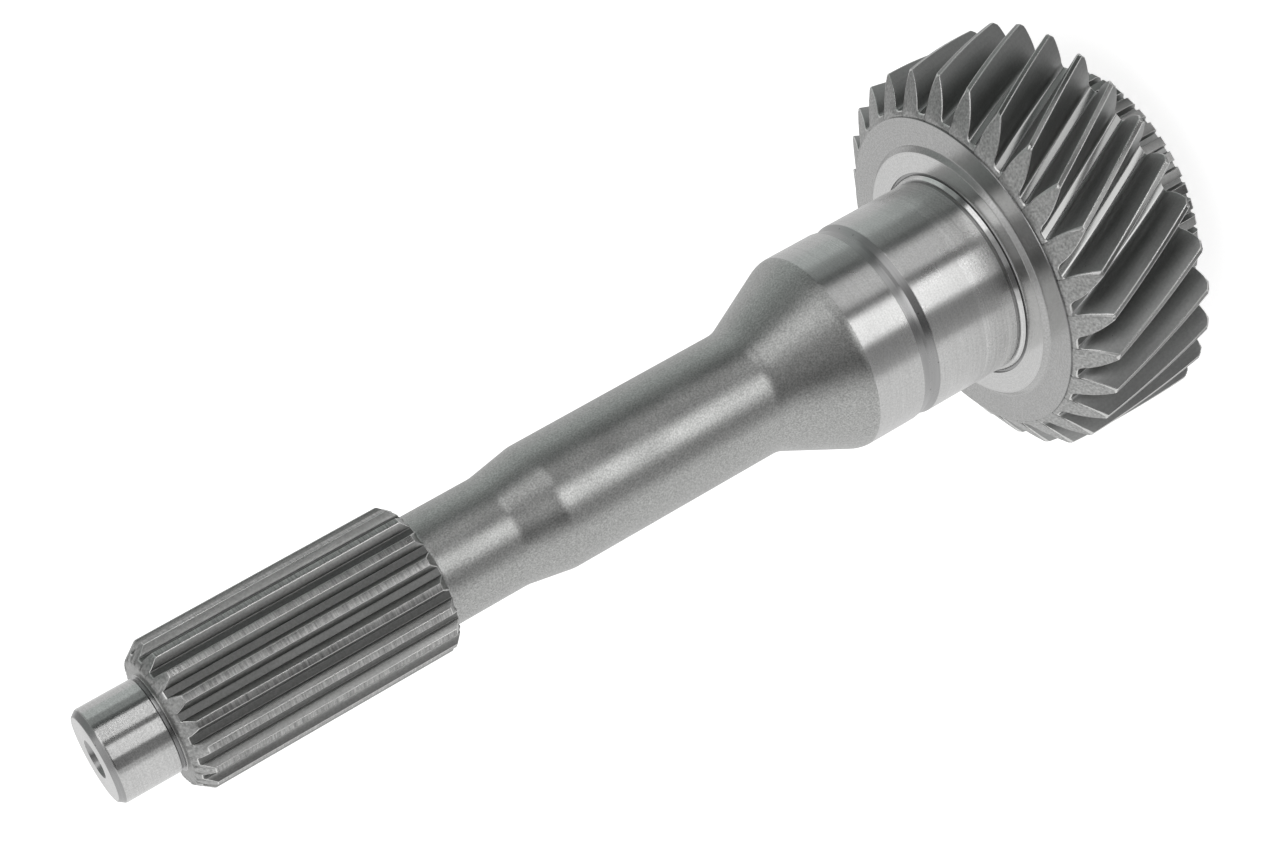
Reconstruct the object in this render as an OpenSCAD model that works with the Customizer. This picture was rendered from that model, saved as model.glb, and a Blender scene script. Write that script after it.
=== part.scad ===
// Gearbox input shaft, forged and machined in one piece. Millimetres, +Z up.
// It stands on its gear end: the origin is the centre of that end face and the pilot journal points up.
// Stations named "_at" are distances from the pilot end face, down the shaft.

/* [Overall] */
// Length from the pilot end face to the gear end face
total_len = 312; // [309.6:0.2:315.6]

/* [Pilot journal] */
// Diameter of the pilot journal
pilot_d = 25; // [23:0.5:26]
// Length of the journal, as far as its relief groove
pilot_len = 16; // [13:0.2:16.2]
// Axial length of the lead-in chamfer
pilot_chamfer_len = 1.6; // [1:0.1:3]
// Radial depth of the lead-in chamfer
pilot_chamfer_dep = 1.2; // [0.5:0.1:1.8]
// Mouth diameter of the lathe centre in the end face
centre_mouth_d = 10.2; // [8:0.1:11]
// Drill diameter of the lathe centre
centre_drill_d = 5; // [3:0.5:6]
// Depth of the lathe centre
centre_depth = 10; // [8:0.5:14]
// Width of the relief groove at the foot of the journal
pilot_relief_w = 1.2; // [0.8:0.1:1.4]
// Depth of that relief groove
pilot_relief_dep = 0.5; // [0.2:0.1:1]

/* [Clutch spline] */
// Number of spline teeth
spline_teeth = 18; // [16:1:20]
// Module of the spline
spline_module = 2; // [1.9:0.05:2]
// Tip diameter of the spline
spline_tip_d = 39.8; // [39.2:0.1:40]
// Root diameter of the spline
spline_root_d = 35.4; // [35:0.1:35.7]
// Half of the angle one tooth takes on the pitch circle, in degrees
spline_half_angle = 6.65; // [6.2:0.05:6.9]
// Station of the spline's front face
spline_at = 17.4; // [16.8:0.1:18.1]
// Diameter where the front face turns into the lead-in cone
spline_face_d = 33.6; // [32:0.1:34.6]
// Axial length of the lead-in cone
spline_lead_len = 4.0; // [3:0.1:6]
// Station of the spline's rear face
spline_end_at = 89.8; // [88.4:0.2:91.4]
// Size of the chamfer on the rear ends of the teeth
spline_rear_chamfer = 2.0; // [1:0.1:2.0]
// Turn of the spline about the axis, in degrees
spline_turn = 6.0; // [0:0.1:20]

/* [Neck and shank] */
// Diameter of the neck behind the spline
neck_d = 30; // [28:0.2:31]
// Fillet between the neck and the spline's rear face
neck_fillet = 1.5; // [1:0.1:2]
// Station where the neck starts to widen
flare_at = 112.6; // [107.6:0.5:115.6]
// Station where the widening reaches the shank
shank_at = 125.2; // [121.2:0.5:129.2]
// Diameter of the shank
shank_d = 34.4; // [33.4:0.1:35]
// Station where the shank turns into the cone
cone_at = 188.5; // [185.5:0.2:190.5]
// Blend radius where the shank turns into the cone
cone_foot_r = 9; // [5:0.5:12]
// Blend radius where the cone meets the seal land
cone_top_r = 8; // [4:0.5:9]

/* [Seal land and bearing seat] */
// Station where the cone reaches the seal land
seal_at = 209.6; // [208:0.2:211]
// Diameter of the seal land
seal_d = 54.8; // [54:0.1:55]
// Station of the groove between the two lands
groove_at = 225; // [223.6:0.2:225.4]
// Diameter at the floor of that groove
groove_d = 53.2; // [52.4:0.1:53.4]
// Station where the bearing seat starts
seat_at = 230.2; // [229.4:0.2:231.2]
// Diameter of the bearing seat
seat_d = 55; // [54.6:0.1:55.4]
// Station where the seat ends in its grinding relief
seat_end_at = 255.4; // [253.4:0.2:255.6]
// Depth of the grinding relief
seat_relief_dep = 0.4; // [0.2:0.1:0.8]

/* [Thrust face] */
// Station of the thrust face
thrust_at = 257.4; // [257.1:0.1:257.7]
// Outer diameter of the thrust face
thrust_d = 70.8; // [68:0.2:73]
// Inner diameter of the thrust face
thrust_in_d = 58.8; // [58.4:0.2:60]
// Depth of the thin groove round the inside of the thrust face
thrust_groove_dep = 0.5; // [0.2:0.1:0.8]

/* [Helical gear] */
// Number of gear teeth
gear_teeth = 28; // [26:1:29]
// Normal module
gear_module = 3.25; // [3.15:0.05:3.25]
// Helix angle on the pitch circle, in degrees, left-handed
helix_angle = 27.25; // [20:0.25:30]
// Pressure angle of the tooth, in the plane square to it, in degrees
pressure_angle = 20; // [18:0.5:21]
// Tip diameter
gear_tip_d = 110; // [109:0.2:111]
// Root diameter
gear_root_d = 92; // [91.4:0.2:92.6]
// Flank backlash taken off each tooth's angle, in degrees
gear_backlash = 0.8; // [0:0.05:1]
// Turn of the gear about the axis, in degrees
gear_phase = -5.45; // [-12:0.05:12]
// Station of the gear's front face
gear_at = 258.9; // [258.5:0.1:259.2]
// Diameter of the flat annulus in the gear's front face
annulus_d = 89.2; // [87:0.2:89.6]
// Slope of the bevelled tooth ends from the plane of the face, in degrees
bevel_angle = 33; // [28:1:38]
// Station of the gear's rear face
gear_end_at = 297.4; // [295.6:0.2:298.2]
// Chamfer on the rear ends of the tooth tips
gear_rear_chamfer = 1.2; // [0.6:0.1:1.6]
// How far the annulus on either side stands proud of the tooth ends
face_proud = 0.25; // [0.15:0.05:0.3]

/* [Clutch ring] */
// Number of clutch teeth
dog_teeth = 48; // [42:1:50]
// Tip diameter of the clutch teeth
dog_tip_d = 71.2; // [69.4:0.2:73]
// Root diameter of the clutch teeth
dog_root_d = 66.6; // [65:0.2:67.4]
// Angle of one tooth's land, in degrees
dog_land_angle = 4.2; // [3:0.1:4.4]
// Slope added to the land's angle at the root, in degrees
dog_root_flare = 0.6; // [0:0.1:1]
// Station where the clutch teeth start
dog_at = 299.6; // [298.6:0.2:301.6]
// Station where the clutch teeth end
dog_end_at = 311.2; // [309.6:0.1:311.5]
// Chamfer on the free ends of the clutch teeth
dog_chamfer = 0.9; // [0.4:0.1:1.2]
// Turn of the clutch teeth about the axis, in degrees
dog_turn = 5.9; // [0:0.1:7.5]
// Diameter of the run-out groove between the gear and the clutch teeth
runout_d = 63.6; // [62:0.2:64.6]

/* [Rear pocket] */
// Bore of the pocket that takes the output shaft's nose bearing
pocket_d = 42; // [36:1:46]
// Depth of the pocket
pocket_depth = 28; // [20:1:32]
// Chamfer at the pocket's mouth
pocket_chamfer = 1.5; // [0.5:0.1:2]

/* [Hidden] */
$fn = 96;

hub_r = annulus_d / 2;
hub_inner_r = 30;
dog_block_inner_r = 27;
spline_core_r = 14;
collar_r = pilot_d / 2 + 0.4;
seat_collar_r = seat_d / 2 + 0.5;
relief_w = 0.8;
thrust_groove_w = 0.8;
arc_steps = 6;
flank_steps = 4;

steel = [0.62, 0.62, 0.63];

// height of a station above the gear end face
function up(station) = total_len - station;

// angle of the involute at radius r from base circle rb, in degrees
function involute_angle(r, rb) =
    r <= rb ? 0 : let(a = acos(rb / r)) tan(a) * 180 / PI - a;

// points of a fillet of radius f at corner b between points a and c
function fillet(a, b, c, f) =
    f <= 0 ? [b] :
    let(u = (a - b) / norm(a - b),
        v = (c - b) / norm(c - b),
        half = acos(u * v) / 2,
        reach = f / tan(half),
        centre = b + (u + v) / norm(u + v) * f / sin(half),
        p = b + u * reach - centre,
        q = b + v * reach - centre,
        start = atan2(p.y, p.x),
        turn = atan2(q.y, q.x) - start,
        sweep = turn > 180 ? turn - 360 : turn < -180 ? turn + 360 : turn)
    [for (i = [0 : arc_steps])
        centre + f * [cos(start + sweep * i / arc_steps), sin(start + sweep * i / arc_steps)]];

// closed outline from corners given as [radius, height, fillet radius]
function outline(c) =
    [for (i = [0 : len(c) - 1])
        let(a = c[(i + len(c) - 1) % len(c)], b = c[i], d = c[(i + 1) % len(c)])
        each fillet([a[0], a[1]], [b[0], b[1]], [d[0], d[1]], b[2])];

// the turned body: pilot, neck, shank, cone, seats, thrust face, gear hub and rear pocket in one outline
module turned_body() {
    pr = pilot_d / 2;
    mouth_r = centre_mouth_d / 2;
    drill_r = centre_drill_d / 2;
    countersink = (mouth_r - drill_r) / tan(30);
    seal_r = seal_d / 2;
    seat_r = seat_d / 2;
    groove_r = groove_d / 2;
    groove_lip_r = (seal_r + groove_r) / 2;
    groove_foot = groove_at + 2.1;
    groove_floor = 1.2;
    thrust_in_r = thrust_in_d / 2;
    front_face = gear_at - face_proud;
    rear_face = gear_end_at + face_proud;
    boss_foot_r = thrust_d / 2 + (front_face - thrust_at);
    relief_at = pilot_len;
    relief_end = pilot_len + pilot_relief_w;
    pocket_r = pocket_d / 2;
    rotate_extrude()
        polygon(outline([
            [0, up(centre_depth + drill_r * 0.6), 0],
            [drill_r, up(centre_depth), 0],
            [drill_r, up(countersink), 0],
            [mouth_r, up(0), 0],
            [pr - pilot_chamfer_dep, up(0), 0.4],
            [pr, up(pilot_chamfer_len), 0.8],
            [pr, up(relief_at), 0],
            [pr - pilot_relief_dep, up(relief_at + 0.3), 0],
            [pr - pilot_relief_dep, up(relief_end - 0.2), 0],
            [collar_r, up(relief_end), 0],
            [collar_r, up(spline_at + 2), 0],
            [spline_core_r, up(spline_at + 4), 0],
            [spline_core_r, up(spline_end_at - 6), 0],
            [neck_d / 2 + neck_fillet, up(spline_end_at - 4), 0],
            [neck_d / 2 + neck_fillet, up(spline_end_at), 0],
            [neck_d / 2, up(spline_end_at), neck_fillet],
            [neck_d / 2, up(flare_at), 12],
            [shank_d / 2, up(shank_at), 12],
            [shank_d / 2, up(cone_at), cone_foot_r],
            [seal_r, up(seal_at), cone_top_r],
            [seal_r, up(groove_at), 0],
            [groove_lip_r, up(groove_foot), 0],
            [groove_r, up(groove_foot + 0.1), 0],
            [groove_r, up(groove_foot + groove_floor), 0],
            [seat_r, up(seat_at), 0.8],
            [seat_r, up(seat_end_at), 0],
            [seat_r - seat_relief_dep, up(seat_end_at + 0.2), 0],
            [seat_r - seat_relief_dep, up(seat_end_at + relief_w - 0.1), 0],
            [seat_collar_r, up(seat_end_at + relief_w), 0],
            [thrust_in_r - thrust_groove_w, up(thrust_at - 0.1), 0],
            [thrust_in_r - thrust_groove_w, up(thrust_at + thrust_groove_dep), 0],
            [thrust_in_r, up(thrust_at + thrust_groove_dep), 0],
            [thrust_in_r, up(thrust_at), 0],
            [thrust_d / 2, up(thrust_at), 0.4],
            [boss_foot_r, up(front_face), 0.6],
            [hub_r, up(front_face), 0],
            [hub_r, up(rear_face), 0],
            [runout_d / 2, up(rear_face), 0.8],
            [runout_d / 2, up(dog_at + 2), 0],
            [hub_inner_r, up(dog_at + 3), 0],
            [hub_inner_r, 0, 0.5],
            [pocket_r + pocket_chamfer, 0, 0],
            [pocket_r, pocket_chamfer, 0],
            [pocket_r, pocket_depth, 0],
            [0, pocket_depth, 0]
        ]));
}

// half of the angle a spline tooth takes at radius r
function spline_half(r) =
    let(pitch_r = spline_teeth * spline_module / 2, rb = pitch_r * cos(30))
    spline_half_angle + involute_angle(pitch_r, rb) - involute_angle(r, rb);

module spline_section() {
    root_r = spline_root_d / 2;
    tip_r = spline_tip_d / 2;
    foot_r = root_r - 0.4;
    radii = [for (i = [0 : flank_steps]) foot_r + (tip_r + 0.3 - foot_r) * i / flank_steps];
    circle(r = root_r);
    intersection() {
        circle(r = tip_r);
        for (k = [0 : spline_teeth - 1])
            rotate(360 / spline_teeth * k + spline_turn)
                polygon(concat(
                    [for (r = radii)
                        r * [sin(spline_half(r)), cos(spline_half(r))]],
                    [for (i = [flank_steps : -1 : 0])
                        radii[i] * [-sin(spline_half(radii[i])), cos(spline_half(radii[i]))]]));
    }
}

// the splined length: the toothed section trimmed by a turned envelope with a lead-in cone and a rear chamfer
module spline_block() {
    tip_r = spline_tip_d / 2;
    intersection() {
        translate([0, 0, up(spline_end_at) - 1])
            linear_extrude(height = spline_end_at - spline_at + 2)
                spline_section();
        rotate_extrude()
            polygon([
                [10, up(spline_at)],
                [spline_face_d / 2, up(spline_at)],
                [tip_r + 0.5, up(spline_at + spline_lead_len * (tip_r + 0.5 - spline_face_d / 2)
                    / (tip_r - spline_face_d / 2))],
                [tip_r + 0.5, up(spline_end_at - spline_rear_chamfer - 0.5)],
                [tip_r - spline_rear_chamfer, up(spline_end_at)],
                [10, up(spline_end_at)]
            ]);
    }
}

// half of the angle a gear tooth takes at radius r, kept constant below the base circle
function gear_half(r) =
    let(pitch_r = gear_teeth * gear_module / cos(helix_angle) / 2,
        at = atan(tan(pressure_angle) / cos(helix_angle)),
        rb = pitch_r * cos(at))
    90 / gear_teeth - gear_backlash / 2 + involute_angle(pitch_r, rb) - involute_angle(max(r, rb), rb);

// turn of the teeth at height z, in degrees: a left-handed helix
function gear_turn(z) =
    gear_phase - tan(helix_angle) / (gear_teeth * gear_module / cos(helix_angle) / 2) * 180 / PI * z;

// radius and half angle of the points down one flank, from the tip of this layer to the root
function flank(top) =
    let(root = gear_root_d / 2, tip = gear_tip_d / 2, pitch_half = 180 / gear_teeth,
        depth = tip - root)
    [for (p = [[1, 0], [0.72, 0], [0.44, 0], [0.2, 0], [0.07, 0.22], [0, 0.64]])
        let(r = min(top, root + depth * p[0]), a = gear_half(r))
        [r, a + (pitch_half - a) * p[1]]];

// points of one layer: every tooth's two flanks at height z, cut back to radius top
function gear_layer(z, top) =
    let(f = flank(top), n = len(f))
    [for (k = [0 : gear_teeth - 1])
        for (i = [0 : 2 * n - 1])
            let(p = i < n ? f[n - 1 - i] : f[i - n],
                side = i < n ? -1 : 1,
                r = min(p[0], top),
                a = gear_turn(z) + 360 / gear_teeth * k + side * p[1])
            [r * cos(a), r * sin(a), z]];

// the toothed ring of the gear: stacked layers of the tooth outline, turned along the helix
module gear_ring() {
    slope = tan(bevel_angle);
    tip_r = gear_tip_d / 2;
    root_r = gear_root_d / 2;
    start_r = hub_r + 0.35;
    inner_r = hub_r - 5;
    front = up(gear_at);
    rear = up(gear_end_at);
    body_top = front - (tip_r - hub_r) * slope;
    body_steps = 4;
    mid_r = (root_r + tip_r) / 2;
    levels = concat(
        [[rear, tip_r - gear_rear_chamfer]],
        [for (i = [0 : body_steps])
            [rear + gear_rear_chamfer + (body_top - rear - gear_rear_chamfer) * i / body_steps, tip_r]],
        [[front - (mid_r - hub_r) * slope, mid_r],
         [front - (root_r - hub_r) * slope, root_r],
         [front - (start_r - hub_r) * slope, start_r]]);
    ring = len(gear_layer(0, tip_r));
    per = ring / gear_teeth;
    layers = len(levels);
    top = (layers - 1) * ring;
    inner = layers * ring;
    bottom_in = inner;
    top_in = inner + gear_teeth;
    points = concat(
        [for (l = levels) each gear_layer(l[0], l[1])],
        [for (l = [levels[0], levels[layers - 1]])
            for (k = [0 : gear_teeth - 1])
                let(a = gear_turn(l[0]) + 360 / gear_teeth * k)
                [inner_r * cos(a), inner_r * sin(a), l[0]]]);
    walls = [for (j = [0 : layers - 2])
        for (i = [0 : ring - 1])
            let(n = (i + 1) % ring, a = j * ring, b = a + ring)
            each [[a + i, b + n, a + n], [a + i, b + i, b + n]]];
    bottom_cap = [for (k = [0 : gear_teeth - 1])
        let(c = bottom_in + k, d = bottom_in + (k + 1) % gear_teeth, e = ((k + 1) * per) % ring)
        each concat(
            [for (i = [0 : per - 2]) [c, k * per + i, k * per + i + 1]],
            [[c, k * per + per - 1, e], [c, e, d]])];
    top_cap = [for (k = [0 : gear_teeth - 1])
        let(c = top_in + k, d = top_in + (k + 1) % gear_teeth, e = top + ((k + 1) * per) % ring)
        each concat(
            [for (i = [0 : per - 2]) [c, top + k * per + i + 1, top + k * per + i]],
            [[c, e, top + k * per + per - 1], [c, d, e]])];
    bore = [for (k = [0 : gear_teeth - 1])
        let(n = (k + 1) % gear_teeth)
        each [[bottom_in + k, bottom_in + n, top_in + n], [bottom_in + k, top_in + n, top_in + k]]];
    polyhedron(points = points, faces = concat(walls, bottom_cap, top_cap, bore), convexity = 10);
}

module dog_section() {
    root_r = dog_root_d / 2;
    tip_r = dog_tip_d / 2;
    land = dog_land_angle / 2;
    foot = land + dog_root_flare / 2;
    circle(r = root_r);
    intersection() {
        circle(r = tip_r);
        for (k = [0 : dog_teeth - 1])
            rotate(360 / dog_teeth * k + dog_turn)
                polygon([
                    (root_r - 1) * [sin(foot), cos(foot)],
                    (tip_r + 0.5) * [sin(land), cos(land)],
                    (tip_r + 0.5) * [-sin(land), cos(land)],
                    (root_r - 1) * [-sin(foot), cos(foot)]
                ]);
    }
}

// the clutch ring behind the gear: straight teeth with chamfered free ends
module dog_block() {
    tip_r = dog_tip_d / 2;
    intersection() {
        translate([0, 0, up(dog_end_at) - 1])
            linear_extrude(height = dog_end_at - dog_at + 2)
                dog_section();
        rotate_extrude()
            polygon([
                [dog_block_inner_r, up(dog_end_at)],
                [tip_r - dog_chamfer, up(dog_end_at)],
                [tip_r + 0.4, up(dog_end_at - dog_chamfer - 0.4)],
                [tip_r + 0.4, up(dog_at)],
                [dog_block_inner_r, up(dog_at)]
            ]);
    }
}

module input_shaft() {
    color(steel)
        union() {
            turned_body();
            spline_block();
            dog_block();
            gear_ring();
        }
}

input_shaft();
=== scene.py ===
import bpy
import math
import numpy as np
from mathutils import Matrix


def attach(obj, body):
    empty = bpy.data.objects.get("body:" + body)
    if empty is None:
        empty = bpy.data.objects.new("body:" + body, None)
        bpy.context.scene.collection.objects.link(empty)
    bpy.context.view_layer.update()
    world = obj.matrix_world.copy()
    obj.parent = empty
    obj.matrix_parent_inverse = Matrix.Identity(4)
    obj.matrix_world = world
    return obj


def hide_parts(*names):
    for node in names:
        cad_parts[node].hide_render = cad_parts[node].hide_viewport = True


# Gearbox input shaft. It stands on its gear end at the origin, the pilot journal points up +Z.
# Stations are millimetres from the pilot end face, down the shaft, and become metres in the meshes.

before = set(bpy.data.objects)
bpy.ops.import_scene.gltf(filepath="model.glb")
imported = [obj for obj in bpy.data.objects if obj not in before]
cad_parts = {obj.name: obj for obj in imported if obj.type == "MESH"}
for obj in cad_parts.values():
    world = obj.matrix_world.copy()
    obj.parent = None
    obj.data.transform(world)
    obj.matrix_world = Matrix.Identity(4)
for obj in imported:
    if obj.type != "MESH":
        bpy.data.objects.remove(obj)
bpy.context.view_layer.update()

mm = 0.001
totalLength = 312.0
around = 256          # columns round the turned body
arcPoints = 6         # points on each rounded corner of the turned outline


def heightOf(station):
    # height above the gear end face = total length less the station
    return totalLength - np.asarray(station, float)


def filletedOutline(corners, steps):
    # corners as rows [radius, height, fillet]. For each corner b with neighbours a and d:
    # reach = f / tan(half angle), and the arc runs from b + u*reach to b + v*reach about
    # centre = b + (u + v)/|u + v| * f / sin(half angle), sampled at even angles.
    # The neighbours of a corner never lie in one line with it
    c = np.asarray(corners, float)
    a, b, d = c[:-2, :2], c[1:-1, :2], c[2:, :2]
    f = c[1:-1, 2:3]
    u = (a - b) / np.linalg.norm(a - b, axis=1, keepdims=True)
    v = (d - b) / np.linalg.norm(d - b, axis=1, keepdims=True)
    half = np.arccos(np.clip((u * v).sum(1, keepdims=True), -1, 1)) / 2
    mid = (u + v) / np.linalg.norm(u + v, axis=1, keepdims=True)
    centre = b + mid * f / np.sin(half)
    p = b + u * f / np.tan(half) - centre
    q = b + v * f / np.tan(half) - centre
    start = np.arctan2(p[:, 1], p[:, 0])
    sweep = (np.arctan2(q[:, 1], q[:, 0]) - start + math.pi) % (2 * math.pi) - math.pi
    t = np.linspace(0, 1, steps)
    angle = start[:, None] + sweep[:, None] * t
    arc = centre[:, None, :] + f[:, :, None] * np.stack([np.cos(angle), np.sin(angle)], -1)
    return arc.reshape(-1, 2)


def gridNormals(p, wrapRows):
    # vertex normal = sum of the cross products of the diagonals of the four cells round it,
    # so each cell counts by its area and long plain faces stay flat beside small edge breaks
    upper = np.roll(p, -1, 0) if wrapRows else p[1:]
    lower = p if wrapRows else p[:-1]
    cell = np.cross(np.roll(upper, -1, 1) - lower, upper - np.roll(lower, -1, 1))
    if wrapRows:
        total = cell + np.roll(cell, 1, 0)
    else:
        none = np.zeros_like(cell[:1])
        total = np.concatenate([cell, none]) + np.concatenate([none, cell])
    total = total + np.roll(total, 1, 1)
    return total / np.maximum(np.linalg.norm(total, axis=2, keepdims=True), 1e-12)


def gridPiece(name, p, finish, materials, wrapRows, poles=()):
    # p is a grid of points, rows x columns, whose columns close round the axis.
    # finish gives each row of cells, or each cell, its material.
    # poles close the first and last row with a fan
    rows, cols = p.shape[:2]
    index = np.arange(rows * cols).reshape(rows, cols)
    top = np.roll(index, -1, 0) if wrapRows else index[1:]
    low = index if wrapRows else index[:-1]
    quads = np.stack([low, np.roll(low, -1, 1), np.roll(top, -1, 1), top], -1).reshape(-1, 4)
    slots = np.asarray(finish)
    slots = (slots if slots.ndim == 2 else np.repeat(slots[:, None], cols, 1)).reshape(-1)
    vertices = p.reshape(-1, 3)
    normals = gridNormals(p, wrapRows).reshape(-1, 3)
    faces = quads.tolist()
    for row, height, up in poles:
        ring = index[row]
        tip = len(vertices)
        vertices = np.concatenate([vertices, [[0, 0, height]]])
        normals = np.concatenate([normals, [[0, 0, up]]])
        fan = np.stack([ring, np.roll(ring, -1), np.full(cols, tip)], -1)
        faces += (fan if row else fan[:, [1, 0, 2]]).tolist()
        slots = np.concatenate([slots, np.full(cols, slots[0] if row == 0 else slots[-1])])
    mesh = bpy.data.meshes.new(name)
    mesh.from_pydata(vertices * mm, [], faces)
    mesh.polygons.foreach_set("use_smooth", np.ones(len(faces), bool))
    mesh.polygons.foreach_set("material_index", slots.astype(np.int32))
    mesh.update()
    mesh.normals_split_custom_set_from_vertices(normals)
    for m in materials:
        mesh.materials.append(m)
    piece = bpy.data.objects.new(name, mesh)
    bpy.context.scene.collection.objects.link(piece)
    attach(piece, "root")
    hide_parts("input_shaft")
    print("piece", name, "triangles", 2 * len(quads) + cols * len(poles))


def nodeOf(tree, kind, inputs=(), **settings):
    # a new node; each input takes a link where its value is a socket, and a plain value otherwise
    n = tree.nodes.new(kind)
    for key, value in settings.items():
        setattr(n, key, value)
    for key, value in inputs:
        if isinstance(value, bpy.types.NodeSocket):
            tree.links.new(value, n.inputs[key])
        else:
            n.inputs[key].default_value = value
    return n


def vectorOf(tree, operation, *values):
    # outputs of a vector operation on the values
    return nodeOf(tree, "ShaderNodeVectorMath", enumerate(values), operation=operation).outputs


def mathOf(tree, operation, *values):
    # result of an operation on plain values
    return nodeOf(tree, "ShaderNodeMath", enumerate(values), operation=operation).outputs[0]


def noiseOf(tree, place, scale, detail):
    # cloudy noise, 0 to 1, at a place
    inputs = [("Vector", place), ("Scale", scale), ("Detail", detail)]
    return nodeOf(tree, "ShaderNodeTexNoise", inputs).outputs["Fac"]


def rangeOf(tree, value, source, target):
    # value moved from the source range to the target range, each as (low, high)
    inputs = [("Value", value), ("From Min", source[0]), ("From Max", source[1]),
              ("To Min", target[0]), ("To Max", target[1])]
    return nodeOf(tree, "ShaderNodeMapRange", inputs).outputs[0]


def blendOf(tree, share, low, high):
    # colour between two colours by share
    inputs = [(0, share), (6, low), (7, high)]
    return nodeOf(tree, "ShaderNodeMix", inputs, data_type="RGBA").outputs[2]


texture = dict(
    noiseMiddle=(0.3, 0.7),               # the part of a noise's range that the patterns use
    cloudScale=80, cloudDetail=5.0,       # noise that tone and gloss wander with
    toneWander=0.02, glossWander=0.12,    # either way, in tone and as a share of the roughness
    lineDetail=3.0, grainDetail=2.0,
    speckCore=0.6,                        # share of a speck's size that has its full shade
)


def steelFinish(name, tone, roughness, scratches=0.0, run="axis", marks=None, grain=None, specks=None):
    # metallic steel: its tone and gloss wander slowly with a cloudy noise. Scratches stretch the highlight
    # across themselves, along the axis or along the radius. Marks are fine lines left by the tool,
    # grain is an even pitted texture and specks are small scattered spots
    t = texture
    material = bpy.data.materials.new(name)
    material.use_nodes = True
    tree = material.node_tree
    shader = tree.nodes["Principled BSDF"]
    shader.inputs["Metallic"].default_value = 1.0
    shader.inputs["Anisotropic"].default_value = scratches
    place = nodeOf(tree, "ShaderNodeTexCoord").outputs["Object"]
    flat = vectorOf(tree, "MULTIPLY", place, (1, 1, 0))[0]
    if scratches and run == "axis":
        way = nodeOf(tree, "ShaderNodeCombineXYZ", [("Z", 1.0)]).outputs[0]
        tree.links.new(way, shader.inputs["Tangent"])
    elif scratches:
        tree.links.new(vectorOf(tree, "NORMALIZE", flat)[0], shader.inputs["Tangent"])
    cloud = noiseOf(tree, place, t["cloudScale"], t["cloudDetail"])
    low = [v - t["toneWander"] for v in tone] + [1.0]
    high = [v + t["toneWander"] for v in tone] + [1.0]
    colour = blendOf(tree, cloud, low, high)
    bump = None

    def addTexture(value, pattern):
        # shade the colour by 1 -+ shade over the middle of the noise, and raise the surface with it
        nonlocal colour, bump
        shade = rangeOf(tree, value, t["noiseMiddle"], (1 - pattern["shade"], 1 + pattern["shade"]))
        colour = vectorOf(tree, "MULTIPLY", colour, shade)[0]
        inputs = [("Height", value), ("Strength", pattern["strength"]), ("Distance", pattern["distance"])]
        below = [("Normal", bump)] if bump else []
        bump = nodeOf(tree, "ShaderNodeBump", inputs + below).outputs["Normal"]

    if marks and marks.get("rings"):
        # rings about the axis: noise that changes along the radius alone
        radius = vectorOf(tree, "LENGTH", flat)["Value"]
        source = nodeOf(tree, "ShaderNodeCombineXYZ", [("X", radius)]).outputs[0]
        addTexture(noiseOf(tree, source, marks["scale"], t["lineDetail"]), marks)
    elif marks:
        # lines round the shaft: noise squeezed hard along the axis and drawn out across it
        squeeze = [("Vector", place), ("Scale", marks["stretch"])]
        source = nodeOf(tree, "ShaderNodeMapping", squeeze).outputs[0]
        addTexture(noiseOf(tree, source, 1.0, t["lineDetail"]), marks)
    if grain:
        addTexture(noiseOf(tree, place, grain["scale"], t["grainDetail"]), grain)
    if specks:
        spots = nodeOf(tree, "ShaderNodeTexVoronoi", [("Vector", place), ("Scale", specks["scale"])])
        core = specks["size"] * t["speckCore"]
        spot = rangeOf(tree, spots.outputs["Distance"], (core, specks["size"]), (specks["shade"], 1.0))
        colour = vectorOf(tree, "MULTIPLY", colour, spot)[0]
    tree.links.new(colour, shader.inputs["Base Color"])
    rough = (roughness * (1 - t["glossWander"]), roughness * (1 + t["glossWander"]))
    tree.links.new(rangeOf(tree, cloud, t["noiseMiddle"], rough), shader.inputs["Roughness"])
    if bump:
        tree.links.new(bump, shader.inputs["Normal"])
    return material


groundMarks = dict(stretch=(40, 40, 3000), shade=0.06, strength=0.03, distance=0.00001)
groundGrain = dict(scale=2300, shade=0.12, strength=0.03, distance=0.00002)
flankGrain = dict(scale=1700, shade=0.12, strength=0.05, distance=0.00003)

groundSteel = steelFinish("ground_steel", (0.60, 0.60, 0.595), 0.29, scratches=0.80,
                          marks=groundMarks, grain=groundGrain)
brightSteel = steelFinish("bright_steel", (0.67, 0.67, 0.665), 0.285, scratches=0.84,
                          marks=dict(stretch=(40, 40, 1600), shade=0.09, strength=0.03, distance=0.00001),
                          grain=dict(scale=2300, shade=0.15, strength=0.03, distance=0.00002))
pilotSteel = steelFinish("pilot_steel", (0.62, 0.62, 0.615), 0.25, scratches=0.9,
                         marks=groundMarks, grain=groundGrain)
peenedSteel = steelFinish("peened_steel", (0.46, 0.463, 0.455), 0.35,
                          grain=dict(scale=2400, shade=0.28, strength=0.38, distance=0.00005))
turnedSteel = steelFinish("turned_steel", (0.70, 0.70, 0.695), 0.17, scratches=0.6, run="radius",
                          marks=dict(rings=True, scale=3500, shade=0.08, strength=0.2, distance=0.00001),
                          grain=dict(scale=2300, shade=0.08, strength=0.05, distance=0.00002))
facedSteel = steelFinish("faced_steel", (0.49, 0.49, 0.485), 0.23,
                         marks=dict(rings=True, scale=2500, shade=0.05, strength=0.1, distance=0.00001),
                         grain=dict(scale=2000, shade=0.12, strength=0.12, distance=0.00003))
# edge breaks and chamfers: a brighter tone than the steel round them, a real edge break with a painted
# highlight along it
chamferHighlightSteel = steelFinish("chamfer_highlight_steel", (0.70, 0.70, 0.69), 0.27,
                           grain=dict(scale=1500, shade=0.08, strength=0.08, distance=0.00003))
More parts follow.
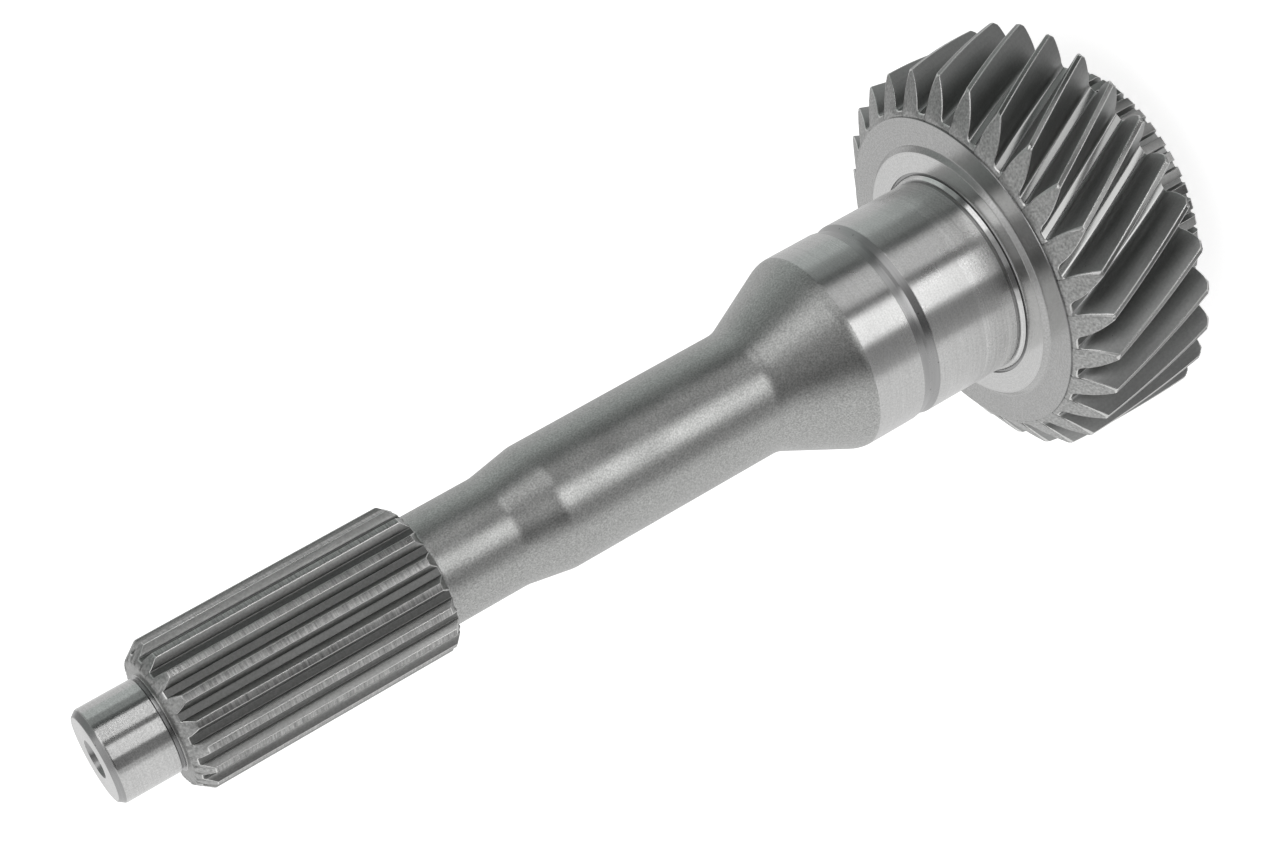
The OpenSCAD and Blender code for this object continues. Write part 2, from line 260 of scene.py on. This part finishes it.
# grooves, the centre hole and other hollows: a darker tone that paints the shade inside them, with real fine
# tool lines and dark spots
grooveShadeSteel = steelFinish("groove_shade_steel", (0.40, 0.40, 0.40), 0.28,
                          marks=dict(stretch=(30, 30, 2500), shade=0.08, strength=0.2, distance=0.00001),
                          specks=dict(scale=350, size=0.10, shade=0.5))
flankSteel = steelFinish("flank_steel", (0.39, 0.394, 0.39), 0.48,
                         marks=dict(rings=True, scale=1500, shade=0.06, strength=0.03, distance=0.00002),
                         grain=dict(scale=1700, shade=0.08, strength=0.03, distance=0.00003),
                         specks=dict(scale=260, size=0.045, shade=0.5))
rootSteel = steelFinish("root_steel", (0.44, 0.442, 0.436), 0.20,
                        marks=dict(rings=True, scale=1500, shade=0.08, strength=0.03, distance=0.00002))
landSteel = steelFinish("land_steel", (0.27, 0.27, 0.266), 0.28,
                        grain=dict(scale=1500, shade=0.10, strength=0.06, distance=0.00004))
endSteel = steelFinish("tooth_end_steel", (0.42, 0.422, 0.416), 0.40,
                       grain=dict(scale=1500, shade=0.30, strength=0.45, distance=0.00007))
splineSteel = steelFinish("spline_steel", (0.37, 0.37, 0.365), 0.30,
                          marks=dict(stretch=(130, 130, 2400), shade=0.34, strength=0.35, distance=0.00003),
                          grain=dict(scale=2200, shade=0.15, strength=0.15, distance=0.00003))
splineFlankMarks = dict(rings=True, scale=1800, shade=0.08, strength=0.04, distance=0.00002)
splineFlankSteel = steelFinish("spline_flank_steel", (0.36, 0.362, 0.356), 0.36,
                               marks=splineFlankMarks, grain=flankGrain)
# floors of the spline's gaps: a much darker tone that paints the shade between the teeth
splineRootShadeSteel = steelFinish("spline_root_shade_steel", (0.20, 0.202, 0.198), 0.40, grain=flankGrain)
print("finishes made")

# finishes of the turned body, in the order of its materials
ground, peened, turned, chamferHighlight, grooveShade, bright, faced, pilot = range(8)

shaft = dict(
    # breaks and fillets that several corners share
    edge=0.12, fine=0.05, crisp=0.06, small=0.1, faceFillet=0.4, leadFillet=0.8,
    poleRing=0.3, poleFillet=0.01,    # the small ring beside each pole
    centreMouth=5.1, centreDrill=2.5, centreDepth=10, centreAngle=30,
    drillTip=0.6, drillRing=0.55,     # the drill's point and the ring beside it, deeper by these drill radii
    pilotRadius=12.5, pilotLength=16.0, pilotChamferLength=1.6, pilotChamferDepth=1.2,
    pilotReliefWidth=1.2, pilotReliefDepth=0.5, reliefLead=0.3, reliefEnd=0.2,
    collarRadius=12.9, collarFillet=0.08, splineStart=17.4, splineEnd=89.8, splineCore=14,
    collarRun=2, coreRun=4,           # behind the spline's start, where the collar ends and the core starts
    coreStop=6, neckStop=4,           # before the spline's end, where the core swells to the neck's foot
    neckRadius=15, neckFillet=1.5, neckSlack=0.06, flareStart=112.6, flareFillet=12,
    shankStart=125.2, shankRadius=17.2, coneStart=188.5, coneFoot=9, coneTop=8,
    sealStart=209.6, sealRadius=27.4, grooveStart=225.0, grooveRadius=26.6,
    grooveSlope=2.1, grooveStep=2.2, grooveFloor=3.3, lipFillet=0.04, grooveFillet=0.03,
    seatStart=230.2, seatRadius=27.5, seatEnd=255.4,
    reliefDepth=0.4, reliefWidth=0.8, reliefSlope=0.1, shoulder=0.5,
    thrustAt=257.4, thrustRadius=35.4, thrustInner=29.4, thrustGroove=0.5, thrustGrooveWidth=0.8,
    thrustStep=0.1, bevelFillet=0.35,
    gearFront=258.65, bossFillet=0.5, hubRadius=44.6, gearRear=297.65, runoutRadius=31.8, runoutFillet=0.7,
    clutchStart=299.6, clutchInner=30,
    clutchStep=2, clutchCore=3,       # behind the clutch ring's start, where the body drops inside it
    pocketRadius=21, pocketDepth=28, pocketChamfer=1.5,
    # stretches of the outside with a finish of their own, as (start, end, finish)
    zones=[(210.6, 224.9, ground), (245.2, 255.3, bright)],
)


def bodyOutline(s):
    # corners of the turned outline as [radius, height, fillet, finish of the stretch that follows],
    # from the centre hole, down the outside and up into the pocket
    up = heightOf
    e, fine, small = s["edge"], s["fine"], s["small"]
    pilotR, pilotEnd = s["pilotRadius"], s["pilotLength"]
    reliefR, reliefTo = pilotR - s["pilotReliefDepth"], pilotEnd + s["pilotReliefWidth"]
    sink = (s["centreMouth"] - s["centreDrill"]) / math.tan(math.radians(s["centreAngle"]))
    neckFoot = s["neckRadius"] + s["neckFillet"]
    lip = (s["sealRadius"] + s["grooveRadius"]) / 2
    grooveAt, grooveR = s["grooveStart"], s["grooveRadius"]
    cornerR, cornerTo = s["seatRadius"] - s["reliefDepth"], s["seatEnd"] + s["reliefWidth"]
    innerR, innerTo = s["thrustInner"] - s["thrustGrooveWidth"], s["thrustAt"] + s["thrustGroove"]
    boss = s["thrustRadius"] + s["gearFront"] - s["thrustAt"]
    return np.array([
        # the centre hole, grooves and reliefs take the darker groove finish, which paints the shade in these
        # hollows
        [s["poleRing"], up(s["centreDepth"] + s["centreDrill"] * s["drillRing"]), s["poleFillet"], grooveShade],
        [s["centreDrill"], up(s["centreDepth"]), fine, grooveShade],
        [s["centreDrill"], up(sink), fine, grooveShade],
        [s["centreMouth"], up(0), e, turned],
        [pilotR - s["pilotChamferDepth"], up(0), s["faceFillet"], grooveShade],
        [pilotR, up(s["pilotChamferLength"]), s["leadFillet"], pilot],
        [pilotR, up(pilotEnd), e, grooveShade],
        [reliefR, up(pilotEnd + s["reliefLead"]), small, grooveShade],
        [reliefR, up(reliefTo - s["reliefEnd"]), small, grooveShade],
        [s["collarRadius"], up(reliefTo), s["collarFillet"], chamferHighlight],
        [s["collarRadius"], up(s["splineStart"] + s["collarRun"]), small, ground],
        [s["splineCore"], up(s["splineStart"] + s["coreRun"]), small, ground],
        [s["splineCore"], up(s["splineEnd"] - s["coreStop"]), small, ground],
        [neckFoot, up(s["splineEnd"] - s["neckStop"]), small, ground],
        [neckFoot, up(s["splineEnd"]), fine, peened],
        [s["neckRadius"], up(s["splineEnd"]), s["neckFillet"] - s["neckSlack"], peened],
        [s["neckRadius"], up(s["flareStart"]), s["flareFillet"], peened],
        [s["shankRadius"], up(s["shankStart"]), s["flareFillet"], peened],
        [s["shankRadius"], up(s["coneStart"]), s["coneFoot"], peened],
        [s["sealRadius"], up(s["sealStart"]), s["coneTop"], peened],
        [s["sealRadius"], up(grooveAt), e, grooveShade],
        [lip, up(grooveAt + s["grooveSlope"]), s["lipFillet"], grooveShade],
        [grooveR, up(grooveAt + s["grooveStep"]), s["grooveFillet"], grooveShade],
        [grooveR, up(grooveAt + s["grooveFloor"]), s["grooveFillet"], grooveShade],
        [s["seatRadius"], up(s["seatStart"]), s["leadFillet"], ground],
        [s["seatRadius"], up(s["seatEnd"]), s["crisp"], grooveShade],
        [cornerR, up(s["seatEnd"] + s["reliefEnd"]), fine, grooveShade],
        [cornerR, up(cornerTo - s["reliefSlope"]), fine, ground],
        [s["seatRadius"] + s["shoulder"], up(cornerTo), fine, turned],
        [innerR, up(s["thrustAt"] - s["thrustStep"]), fine, grooveShade],
        [innerR, up(innerTo), fine, grooveShade],
        [s["thrustInner"], up(innerTo), fine, grooveShade],
        [s["thrustInner"], up(s["thrustAt"]), s["crisp"], turned],
        [s["thrustRadius"], up(s["thrustAt"]), s["bevelFillet"], faced],
        [boss, up(s["gearFront"]), s["bossFillet"], faced],
        [s["hubRadius"], up(s["gearFront"]), small, grooveShade],
        [s["hubRadius"], up(s["gearRear"]), small, faced],
        [s["runoutRadius"], up(s["gearRear"]), s["runoutFillet"], grooveShade],
        [s["runoutRadius"], up(s["clutchStart"] + s["clutchStep"]), small, grooveShade],
        [s["clutchInner"], up(s["clutchStart"] + s["clutchCore"]), small, grooveShade],
        [s["clutchInner"], 0.0, s["faceFillet"], turned],
        [s["pocketRadius"] + s["pocketChamfer"], 0.0, small, chamferHighlight],
        [s["pocketRadius"], s["pocketChamfer"], small, turned],
        [s["pocketRadius"], s["pocketDepth"], fine, turned],
    ], dtype=float)


def zonedOutline(line, kinds, zones):
    # a row is put in where the outside passes each zone's ends, at the share of its stretch that the
    # station falls at, and the rows between take the zone's finish
    outside = int(np.argmin(line[:, 1]))
    for start, end, _ in zones:
        for h in (heightOf(start), heightOf(end)):
            i = int(np.nonzero(line[:outside, 1] > h)[0][-1])
            share = (line[i, 1] - h) / (line[i, 1] - line[i + 1, 1])
            line = np.insert(line, i + 1, line[i] + (line[i + 1] - line[i]) * share, axis=0)
            kinds = np.insert(kinds, i + 1, kinds[i])
            outside += 1
    middle = (line[:-1, 1] + line[1:, 1]) / 2
    onOutside = np.arange(len(middle)) < outside
    for start, end, kind in zones:
        kinds[(middle < heightOf(start)) & (middle > heightOf(end)) & onOutside] = kind
    return line, kinds


def turnedBody(s):
    # point(row, column) = (r cos t, r sin t, z), with the outline's r and z by row and t even by column
    corners = bodyOutline(s)
    first, last = corners[0].copy(), corners[-1].copy()
    first[0], last[0] = 0.0, 0.0
    first[1], last[1] = heightOf(s["centreDepth"] + s["centreDrill"] * s["drillTip"]), s["pocketDepth"]
    path = np.vstack([first, corners, last])
    # a plain ring on the pocket's floor keeps the floor flat up to its pole
    line = np.vstack([filletedOutline(path[:, :3], arcPoints), [[s["poleRing"], s["pocketDepth"]]]])
    kinds = np.repeat(corners[:, 3].astype(int), arcPoints)
    line, kinds = zonedOutline(line, kinds, s["zones"])
    t = np.arange(around) * 2 * math.pi / around
    r, z = line[:, 0:1], line[:, 1:2]
    p = np.stack([r * np.cos(t), r * np.sin(t), z + 0 * t], -1)
    # the outline runs down the outside, so the columns are turned round for outward faces
    p = p[:, ::-1]
    poles = [(0, first[1], 1.0), (len(line) - 1, last[1], -1.0)]
    materials = [groundSteel, peenedSteel, turnedSteel, chamferHighlightSteel,
                 grooveShadeSteel, brightSteel, facedSteel, pilotSteel]
    gridPiece("shaft_body", p, kinds, materials, False, poles)


toothPoints = dict(land=3, corner=4, fillet=6)      # the points of a flank stand beside each ring's sizes


def toothOutline(g, halfAt):
    # one half of a tooth from the middle of its land to the middle of the gap, as radius and angle:
    # land at the tip radius, a soft corner, the flank at halfAt(radius), a root fillet, the gap floor.
    # each soft corner is (1-t)^2 A + 2t(1-t) C + t^2 B between points A and B either side of corner C
    def soft(a, c, b, points):
        t = np.linspace(0, 1, points)[:, None]
        a, c, b = (np.array(v, float) for v in (a, c, b))
        return (1 - t) ** 2 * a + 2 * t * (1 - t) * c + t ** 2 * b
    count = toothPoints
    tipR, root, edge = g["tipRadius"], g["rootRadius"], g["tipEdge"]
    pitchHalf = 180 / g["teeth"]
    tip = halfAt(tipR)
    turn = math.degrees(edge / tipR)
    rise = root + g["filletRise"]
    foot = halfAt(rise)
    land = np.stack([np.full(count["land"], tipR), np.linspace(0, tip - turn, count["land"])], -1)[:-1]
    corner = soft((tipR, tip - turn), (tipR, tip), (tipR - edge, halfAt(tipR - edge)), count["corner"])
    radii = np.linspace(tipR - edge, rise, g["flankPoints"])[1:-1]
    flank = np.stack([radii, halfAt(radii)], -1)
    run = foot + (pitchHalf - foot) * g["filletShare"]
    fillet = soft((rise, foot), (root, foot), (root, run), count["fillet"])
    floor = np.array([[root, pitchHalf]])
    return np.vstack([land, corner, flank, fillet, floor])


def wholeOutline(half, teeth):
    # left half mirrored, right half, then every tooth in turn, without doubling the shared points
    left = half[1:-1][::-1] * [1, -1]
    one = np.vstack([half[-1:] * [1, -1], left, half[:-1]])
    angle = one[None, :, 1] + (360 / teeth * np.arange(teeth))[:, None]
    radius = np.repeat(one[None, :, 0], teeth, 0)
    return radius.reshape(-1), angle.reshape(-1)


def insetOutline(radius, angle, edge):
    # outline moved inwards by edge along its own normal, worked out from the neighbouring points
    t = np.radians(angle)
    q = np.stack([radius * np.cos(t), radius * np.sin(t)], -1)
    along = np.roll(q, -1, 0) - np.roll(q, 1, 0)
    inward = np.stack([-along[:, 1], along[:, 0]], -1) / np.linalg.norm(along, axis=1, keepdims=True)
    q = q + inward * edge[:, None]
    newAngle = np.degrees(np.arctan2(q[:, 1], q[:, 0]))
    return np.hypot(q[:, 0], q[:, 1]), angle + (newAngle - angle + 180) % 360 - 180


# finishes of a toothed ring, in the order of its materials
ringFinishes = dict(end=0, edge=1, flank=2, land=3, root=4)
ringShape = dict(
    faceShares=(0.0, 0.3, 0.6, 0.85, 0.97, 1.0),      # rows on an end face, from the start radius out
    edgeSag=0.35,                     # how far the middle of an edge break lies behind the end face, in edges
    landDepth=0.02,                   # a cell this near the tip radius is part of the land
    landHighlightReach=1.2,                  # depth of the painted highlight under a land's corner, in tip edges
)


def sideFinish(g, radius):
    # finish of each column of cells between the two end faces, by the lower radius of its two sides.
    # A ring whose rootDepth is 0 has no root finish
    f = ringFinishes
    # on the spline, the root finish is a darker tone that paints the shade on the gap floors
    lower = np.minimum(radius, np.roll(radius, -1))
    # cells just under the land take the edge finish, whose brighter tone paints a highlight along the land's
    # edges
    underLand = np.where(lower > radius.max() - g["tipEdge"] * ringShape["landHighlightReach"], f["edge"],
                         np.where(lower < radius.min() + g["rootDepth"], f["root"], f["flank"]))
    return np.where(lower > radius.max() - ringShape["landDepth"], f["land"], underLand)


def toothedRing(name, g, radius, angle, edge, frontAt, rearAt, turnAt, materials):
    # a ring closed on itself: bore, front face along radial lines, edge break, flanks turned along the axis
    # by turnAt(height), edge break, rear face and back to the bore. The edge may differ from point to point
    f = ringFinishes
    flat = np.zeros_like(radius)
    edge = edge + flat
    inRadius, inAngle = insetOutline(radius, angle, edge)
    midRadius, midAngle = (radius * 2 + inRadius) / 3, (angle * 2 + inAngle) / 3
    side = sideFinish(g, radius)
    rows, kinds = [], []

    def addRow(r, a, z, kind):
        t = np.radians(a + turnAt(z))
        rows.append(np.stack([r * np.cos(t), r * np.sin(t), z + 0 * r], -1))
        kinds.append(flat.astype(int) + kind)

    def addFaceRow(r, z, faceAt, kind):
        # a point of an end face keeps the angle that the outline has at that face
        addRow(r, inAngle + turnAt(faceAt(inRadius)) - turnAt(z), z, kind)
    bore, start = flat + g["boreRadius"], flat + g["startRadius"]
    addFaceRow(bore, frontAt(start), frontAt, f["end"])
    for k in ringShape["faceShares"]:
        r = g["startRadius"] + (inRadius - g["startRadius"]) * k
        addFaceRow(r, frontAt(r), frontAt, f["end"] if k < 1 else f["edge"])
    top, low = frontAt(radius) - edge, rearAt(radius) + edge
    addRow(midRadius, midAngle, frontAt(radius) - edge * ringShape["edgeSag"], f["edge"])
    for k in np.linspace(0, 1, g["layers"]):
        addRow(radius, angle, top + (low - top) * k, side if k < 1 else f["edge"])
    addRow(midRadius, midAngle, rearAt(radius) + edge * ringShape["edgeSag"], f["edge"])
    for k in ringShape["faceShares"][::-1]:
        r = g["startRadius"] + (inRadius - g["startRadius"]) * k
        addFaceRow(r, rearAt(r), rearAt, f["end"])
    addFaceRow(bore, rearAt(start), rearAt, f["end"])
    p, finish = np.stack(rows), np.stack(kinds)
    # the columns are turned round for outward faces, and each cell keeps its finish
    p, finish = p[:, ::-1], np.roll(finish[:, ::-1], -1, 1)
    gridPiece(name, p, finish, materials, True)


def involute(radius, base):
    # angle of the involute in degrees at a radius, from its base circle
    a = np.arccos(np.clip(base / np.maximum(radius, base), 0, 1))
    return np.degrees(np.tan(a) - a)


gear = dict(
    teeth=28, module=3.25, helix=27.25, pressure=20, tipRadius=54.985, rootRadius=46, backlash=0.8,
    phase=-5.45, front=258.9, rear=297.4, hubRadius=44.6, bevel=33, rearChamfer=1.2,
    boreRadius=39.6, startRadius=44.95, edge=0.26, tipEdge=0.20, filletRise=1.9, filletShare=0.66,
    flankPoints=9, layers=22, rootDepth=0.06,
    # the acute corner of each tooth end is broken wider near the tip, over this depth and with this bulge
    acuteEdge=0.55, acuteDepth=2.6, acuteBulge=0.6,
)


def helicalGear(g):
    # half a tooth's angle at radius r = 90 / teeth - backlash / 2 + inv(pitch) - inv(r), with inv from the
    # base circle. At height z the outline is turned by phase - z tan(helix) / pitch. The front face is
    # bevelled outside the hub, and the rear face is chamfered at 45 degrees near the tips
    helix = math.radians(g["helix"])
    pitch = g["teeth"] * g["module"] / math.cos(helix) / 2
    across = math.atan(math.tan(math.radians(g["pressure"])) / math.cos(helix))
    base = pitch * math.cos(across)
    slope = math.tan(math.radians(g["bevel"]))

    def halfAt(r):
        thickness = 90 / g["teeth"] - g["backlash"] / 2
        return thickness + involute(pitch, base) - involute(np.maximum(r, base), base)

    def turnAt(z):
        return g["phase"] - math.degrees(math.tan(helix) / pitch) * z

    def frontAt(r):
        return heightOf(g["front"]) - np.maximum(r - g["hubRadius"], 0) * slope

    def rearAt(r):
        return heightOf(g["rear"]) + np.maximum(r - (g["tipRadius"] - g["rearChamfer"]), 0)
    radius, angle = wholeOutline(toothOutline(g, halfAt), g["teeth"])
    # how near a point is to the tip, 0 to 1, on the side of its tooth where the end makes an acute angle
    near = np.clip(1 - (g["tipRadius"] - radius) / g["acuteDepth"], 0, 1) ** g["acuteBulge"]
    acute = (angle + 180 / g["teeth"]) % (360 / g["teeth"]) > 180 / g["teeth"]
    edge = g["edge"] + (g["acuteEdge"] - g["edge"]) * near * acute
    materials = [endSteel, chamferHighlightSteel, flankSteel, landSteel, rootSteel]
    toothedRing("helical_gear", g, radius, angle, edge, frontAt, rearAt, turnAt, materials)


spline = dict(
    teeth=18, module=2, pressure=30, tipRadius=19.9, rootRadius=17.7, halfAngle=6.65,
    turn=6.0,             # of the first tooth, in degrees from +Y towards -X
    start=17.4, end=89.8, faceRadius=16.8, leadLength=4.0, rearChamfer=2.0, boreRadius=12, startRadius=12.6,
    # rootDepth: how far up from a gap floor the root finish and its painted shade reach
    edge=0.14, tipEdge=0.14, filletRise=0.45, filletShare=0.35, flankPoints=7, layers=4, rootDepth=0.25,
)


def splineTeeth(g):
    # half a tooth's angle at radius r = halfAngle + inv(pitch) - inv(r). Outside the face radius the front
    # slopes back, by leadLength at the tips, and the rear is chamfered at 45 degrees near the tips
    pitch = g["teeth"] * g["module"] / 2
    base = pitch * math.cos(math.radians(g["pressure"]))
    rise = g["leadLength"] / (g["tipRadius"] - g["faceRadius"])

    def halfAt(r):
        return g["halfAngle"] + involute(pitch, base) - involute(r, base)

    def turnAt(z):
        return 90 + g["turn"] + 0 * z

    def frontAt(r):
        return heightOf(g["start"]) - np.maximum(r - g["faceRadius"], 0) * rise

    def rearAt(r):
        return heightOf(g["end"]) + np.maximum(r - (g["tipRadius"] - g["rearChamfer"]), 0)
    radius, angle = wholeOutline(toothOutline(g, halfAt), g["teeth"])
    materials = [endSteel, chamferHighlightSteel, splineFlankSteel, splineSteel, splineRootShadeSteel]
    toothedRing("clutch_spline", g, radius, angle, g["edge"], frontAt, rearAt, turnAt, materials)


clutch = dict(
    teeth=48, tipRadius=35.6, rootRadius=33.3,
    land=4.2, flare=0.6,  # width of a tooth in degrees, over its land and added by its root
    turn=5.9,             # of the first tooth, in degrees from +Y towards -X
    start=299.6, end=311.2, rearChamfer=0.9, boreRadius=27, startRadius=28,
    edge=0.12, tipEdge=0.15, filletRise=0.4, filletShare=0.4, flankPoints=4, layers=4, rootDepth=0,
)


def clutchRing(g):
    # half a tooth's angle at radius r = land / 2 + (tip - r) * flare / 2 / (tip - root), so its sides are
    # plain, and the rear is chamfered at 45 degrees near the tips
    slant = g["flare"] / 2 / (g["tipRadius"] - g["rootRadius"])

    def halfAt(r):
        return g["land"] / 2 + (g["tipRadius"] - r) * slant

    def turnAt(z):
        return 90 + g["turn"] + 0 * z

    def frontAt(r):
        return heightOf(g["start"]) + 0 * r

    def rearAt(r):
        return heightOf(g["end"]) + np.maximum(r - (g["tipRadius"] - g["rearChamfer"]), 0)
    radius, angle = wholeOutline(toothOutline(g, halfAt), g["teeth"])
    materials = [endSteel, chamferHighlightSteel, flankSteel, landSteel]
    toothedRing("clutch_ring", g, radius, angle, g["edge"], frontAt, rearAt, turnAt, materials)


turnedBody(shaft)
helicalGear(gear)
splineTeeth(spline)
clutchRing(clutch)

studio = dict(
    fill=0.7,             # world level for diffuse light
    # panels and dark flags that stand round the shaft, each as (start, end, low, high, level): angles in
    # degrees from the front towards -X, heights in metres about the floor
    cards=dict(
        rear=(172, 210, -4, 4, 0.77),
        rearLeft=(-150, -120, -4, 0.6, 0.7),
        rearLeftTop=(-150, -120, 0.6, 4, 0.4),
        left=(-120, -90, -4, 0.6, 0.6),
        leftTop=(-120, -90, 0.6, 4, 0.35),
        leftEdge=(-90, -70, -4, 4, 0.3),
        leftFlag=(-70, -57, -4, 4, 0.1),
        stripLow=(-57, -24, -4, -0.9, 1.1),
        stripFlag=(-57, -24, -0.9, -0.2, 0.01),
        strip=(-57, -24, -0.2, 0.1, 2.5),
        stripDim=(-57, -24, 0.1, 0.6, 0.2),
        stripTop=(-57, -24, 0.6, 4, 1.2),
        frontFlag=(-24, -12, -4, 0.6, 0.15),
        frontFlagTop=(-24, -12, 0.6, 4, 0.45),
        keyLow=(-12, 20, -4, -0.9, 1.5),
        key=(-12, 20, -0.9, -0.25, 2.0),
        keyDim=(-12, 20, -0.25, 0.2, 0.9),
        keyTop=(-12, 20, 0.2, 4, 0.3),
        rightFlagLow=(20, 46, -4, -0.9, 0.25),
        rightDim=(20, 46, -0.9, -0.25, 0.55),
        rightFlag=(20, 46, -0.25, 4, 0.1),
        rightEdgeLow=(46, 58, -4, -0.25, 0.37),
        rightEdge=(46, 58, -0.25, 4, 0.6),
        right=(58, 172, -4, 4, 0.88),
    ),
    cardDistance=2.3, cardPoints=8,
    coolCards=("left", "leftTop", "leftEdge", "leftFlag"),
    coolTint=(0.945, 1.0, 0.98, 1.0),
    # round caps above and below as (height, radius, level)
    caps=((4.0, 2.4, 0.7), (-4.0, 2.4, 0.35)), capStep=15,
    floorSize=6, floorTone=0.85, floorWander=0.01, floorCloud=3.0,
    floorGlow=0.74,       # added to the floor's own light for the camera alone
)
white = (1, 1, 1, 1)


def glowMaterial(name, strength, tint):
    # plain light of one strength and tint
    material = bpy.data.materials.new(name)
    material.use_nodes = True
    tree = material.node_tree
    tree.nodes.clear()
    out = nodeOf(tree, "ShaderNodeOutputMaterial")
    glow = nodeOf(tree, "ShaderNodeEmission", [("Color", tint), ("Strength", strength)])
    tree.links.new(glow.outputs[0], out.inputs[0])
    return material


def addSheet(name, points, faces, material, hiddenFrom):
    # a sheet of the studio that the given kinds of rays pass by
    mesh = bpy.data.meshes.new(name)
    mesh.from_pydata(points, [], faces)
    mesh.materials.append(material)
    o = bpy.data.objects.new(name, mesh)
    bpy.context.scene.collection.objects.link(o)
    for rays in hiddenFrom:
        setattr(o, "visible_" + rays, False)


def addCard(name, points, faces, level, tint=white):
    # a glowing sheet that only reflections show
    addSheet(name, points, faces, glowMaterial(name, level, tint), ("camera", "diffuse", "shadow"))


def standCard(s, name, start, end, low, high, level):
    # a curved card upright about the shaft: (-D sin a, -D cos a) for the angle a, between two heights
    n = s["cardPoints"]
    a = np.radians(np.linspace(start, end, n))
    x, y = -s["cardDistance"] * np.sin(a), -s["cardDistance"] * np.cos(a)
    p = np.stack([np.stack([x, y, 0 * x + low], -1), np.stack([x, y, 0 * x + high], -1)])
    i = np.arange(n - 1)
    faces = np.stack([i, i + 1, i + 1 + n, i + n], -1)
    tint = s["coolTint"] if name in s["coolCards"] else white
    addCard(name, p.reshape(-1, 3), faces.tolist(), level, tint)


def layCap(s, index, height, radius, level):
    # a round sheet across the axis: (R cos t, R sin t, height)
    t = np.radians(np.arange(0, 360, s["capStep"]))
    p = np.stack([radius * np.cos(t), radius * np.sin(t), 0 * t + height], -1)
    addCard("cap_%d" % index, p, [list(range(len(t)))], level)


def setWorld(s):
    # white to the camera, to reflections and through glass, and the fill level for diffuse light
    world = bpy.data.worlds.new("studio")
    bpy.context.scene.world = world
    world.use_nodes = True
    tree = world.node_tree
    ray = nodeOf(tree, "ShaderNodeLightPath").outputs
    seen = mathOf(tree, "MAXIMUM", ray["Is Camera Ray"], ray["Is Glossy Ray"])
    seen = mathOf(tree, "MAXIMUM", seen, ray["Is Transmission Ray"])
    back = tree.nodes["Background"]
    back.inputs["Color"].default_value = white
    tree.links.new(rangeOf(tree, seen, (0.0, 1.0), (s["fill"], 1.0)), back.inputs["Strength"])


def layFloor(s):
    # pale matt floor that glows for the camera alone, so it looks white and keeps the shadow
    material = bpy.data.materials.new("pale_floor")
    material.use_nodes = True
    tree = material.node_tree
    tree.nodes.clear()
    out = nodeOf(tree, "ShaderNodeOutputMaterial")
    ray = nodeOf(tree, "ShaderNodeLightPath").outputs
    place = nodeOf(tree, "ShaderNodeTexCoord").outputs["Object"]
    cloud = nodeOf(tree, "ShaderNodeTexNoise", [("Vector", place), ("Scale", s["floorCloud"])]).outputs["Fac"]
    low = [s["floorTone"] - s["floorWander"]] * 3 + [1]
    high = [s["floorTone"] + s["floorWander"]] * 3 + [1]
    matt = nodeOf(tree, "ShaderNodeBsdfDiffuse", [("Color", blendOf(tree, cloud, low, high))])
    level = mathOf(tree, "MULTIPLY", ray["Is Camera Ray"], s["floorGlow"])
    glow = nodeOf(tree, "ShaderNodeEmission", [("Color", white), ("Strength", level)])
    both = nodeOf(tree, "ShaderNodeAddShader", [(0, matt.outputs[0]), (1, glow.outputs[0])])
    tree.links.new(both.outputs[0], out.inputs[0])
    h = s["floorSize"]
    corners = [(-h, -h, 0), (h, -h, 0), (h, h, 0), (-h, h, 0)]
    addSheet("floor", corners, [(0, 1, 2, 3)], material, ("glossy",))


setWorld(studio)
layFloor(studio)
for cardName, card in studio["cards"].items():
    standCard(studio, cardName, *card)
for capIndex, cap in enumerate(studio["caps"]):
    layCap(studio, capIndex, *cap)
print("studio set")

camera = dict(
    place=(0.0, -0.6710, 0.4034), lens=79.82, sensor=36, clip=(0.01, 50),
    # in degrees: from the front towards -X, above the level, and about the line of sight
    azimuth=0.52, elevation=20.46, roll=-119.26,
)


def setCamera(c):
    # back = (-sin A cos E, -cos A cos E, sin E); the level right and up are then turned about it by the roll
    a, e, q = (math.radians(c[k]) for k in ("azimuth", "elevation", "roll"))
    back = np.array([-math.sin(a) * math.cos(e), -math.cos(a) * math.cos(e), math.sin(e)])
    side = np.array([math.cos(a), -math.sin(a), 0.0])
    rise = np.cross(back, side)
    right = side * math.cos(q) + rise * math.sin(q)
    up = rise * math.cos(q) - side * math.sin(q)
    data = bpy.data.cameras.new("camera")
    data.lens, data.sensor_width = c["lens"], c["sensor"]
    data.clip_start, data.clip_end = c["clip"]
    o = bpy.data.objects.new("camera", data)
    bpy.context.scene.collection.objects.link(o)
    turn = Matrix(np.array([right, up, back]).T.tolist()).to_4x4()
    o.matrix_world = Matrix.Translation(c["place"]) @ turn
    bpy.context.scene.camera = o


setCamera(camera)
bpy.context.scene.view_settings.view_transform = "Standard"
print("scene ready")
